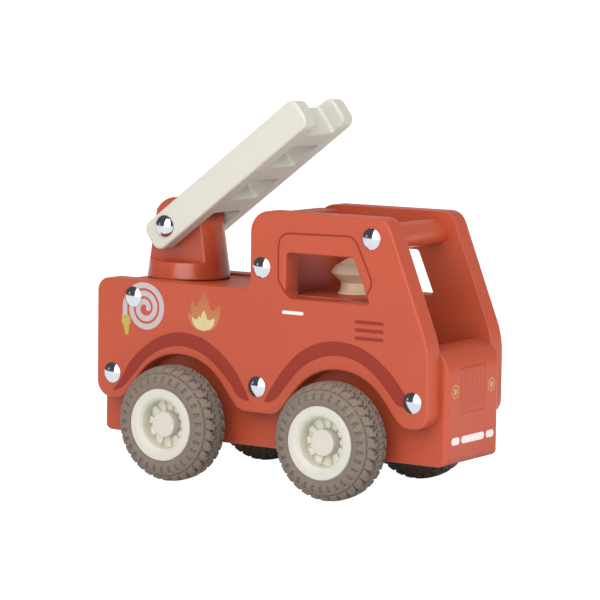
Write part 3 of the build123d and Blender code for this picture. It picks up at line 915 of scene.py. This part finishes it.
def past_squared(look, coordinate, limit):
    """Square of how far a coordinate is past a limit on either side of 0."""
    beyond = look.maths("SUBTRACT", look.maths("ABSOLUTE", coordinate), limit)
    return look.maths("POWER", look.maths("MAXIMUM", beyond), 2)


def floor():
    """Grey paper that glows, so that the camera sees it white. Under the toy it lights the toy
    less than it shows, as paper in the toy's shade would."""
    mesh = bpy.data.meshes.new("floor")
    edge = FLOOR_HALF
    square = [(-edge, -edge, 0), (edge, -edge, 0), (edge, edge, 0), (-edge, edge, 0)]
    mesh.from_pydata(square, [], [(0, 1, 2, 3)])
    look = Look("floor_paper")
    grain = look.noise(90.0, 4.0)
    look.set(Base_Color=look.blend(grain, (0.13, 0.13, 0.13, 1), (0.15, 0.15, 0.15, 1)))
    look.shader.inputs["Roughness"].default_value = 0.9
    look.shader.inputs["Specular IOR Level"].default_value = 0.1
    look.shader.inputs["Emission Color"].default_value = (1, 1, 1, 1)
    split = look.add("ShaderNodeSeparateXYZ", {"Vector": look.place})
    across = look.maths("SUBTRACT", split.outputs["Y"], SHADE_MIDDLE_Y)
    past_x = past_squared(look, split.outputs["X"], SHADE_HALF_X)
    past_y = past_squared(look, across, SHADE_HALF_Y)
    away = look.maths("SQRT", look.maths("ADD", past_x, past_y))
    shaded = look.span(away, 0.0, SHADE_FADE, SHADE_DARK * FLOOR_GLOW, SHADE_BRIGHT * FLOOR_GLOW)
    seen = look.add("ShaderNodeLightPath").outputs["Is Camera Ray"]
    seen_glow = look.maths("MULTIPLY", seen, FLOOR_GLOW)
    look.feed(look.shader.inputs["Emission Strength"], look.maths("MAXIMUM", shaded, seen_glow))
    mesh.materials.append(look.material)
    obj = bpy.data.objects.new("floor", mesh)
    bpy.context.scene.collection.objects.link(obj)


def studio_world():
    """White backdrop for the camera, seen more softly in the paint; a dim room elsewhere."""
    world = bpy.data.worlds.new("studio")
    world.use_nodes = True
    tree = world.node_tree
    background = tree.nodes["Background"]
    path = tree.nodes.new("ShaderNodeLightPath").outputs
    split = tree.nodes.new("ShaderNodeSeparateXYZ")
    tree.links.new(tree.nodes.new("ShaderNodeTexCoord").outputs["Generated"], split.inputs[0])
    behind = tree.nodes.new("ShaderNodeMapRange")
    tree.links.new(split.outputs["Y"], behind.inputs["Value"])
    behind.inputs["From Min"].default_value = BACKDROP_FROM
    behind.inputs["From Max"].default_value = BACKDROP_FULL
    behind.inputs["To Min"].default_value = ROOM_MIRRORED
    behind.inputs["To Max"].default_value = BACKDROP_MIRRORED
    mirrored = tree.nodes.new("ShaderNodeMix")
    mirrored.inputs[2].default_value = ROOM_GLOW
    tree.links.new(path["Is Glossy Ray"], mirrored.inputs[0])
    tree.links.new(behind.outputs["Result"], mirrored.inputs[3])
    mix = tree.nodes.new("ShaderNodeMix")
    mix.inputs[3].default_value = BACKDROP_GLOW
    tree.links.new(path["Is Camera Ray"], mix.inputs[0])
    tree.links.new(mirrored.outputs[0], mix.inputs[2])
    tree.links.new(mix.outputs[0], background.inputs["Strength"])
    background.inputs["Color"].default_value = (1, 1, 1, 1)
    bpy.context.scene.world = world


def studio_camera():
    """Camera with a long lens at the front right, low, turned a little about its own axis."""
    cos_a, sin_a = math.cos(VIEW_AZIMUTH), math.sin(VIEW_AZIMUTH)
    cos_e, sin_e = math.cos(VIEW_ELEVATION), math.sin(VIEW_ELEVATION)
    level_right = Vector((cos_a, sin_a, 0))
    back = Vector((sin_a * cos_e, -cos_a * cos_e, sin_e))
    level_up = back.cross(level_right)
    right = math.cos(VIEW_ROLL) * level_right + math.sin(VIEW_ROLL) * level_up
    up = math.cos(VIEW_ROLL) * level_up - math.sin(VIEW_ROLL) * level_right
    camera = bpy.data.objects.new("camera", bpy.data.cameras.new("camera"))
    bpy.context.scene.collection.objects.link(camera)
    camera.data.sensor_width, camera.data.lens = SENSOR, LENS
    camera.data.clip_start, camera.data.clip_end = 0.05, 100.0
    spot = (right * CAMERA_RIGHT + up * CAMERA_UP + back * CAMERA_BACK) * MM
    camera.matrix_world = Matrix.Translation(spot) @ Matrix((right, up, back)).transposed().to_4x4()
    bpy.context.scene.camera = camera


floor()
studio_world()
for light_setting in LIGHTS:
    area(*light_setting)
studio_camera()
bpy.context.scene.view_settings.view_transform = "Standard"
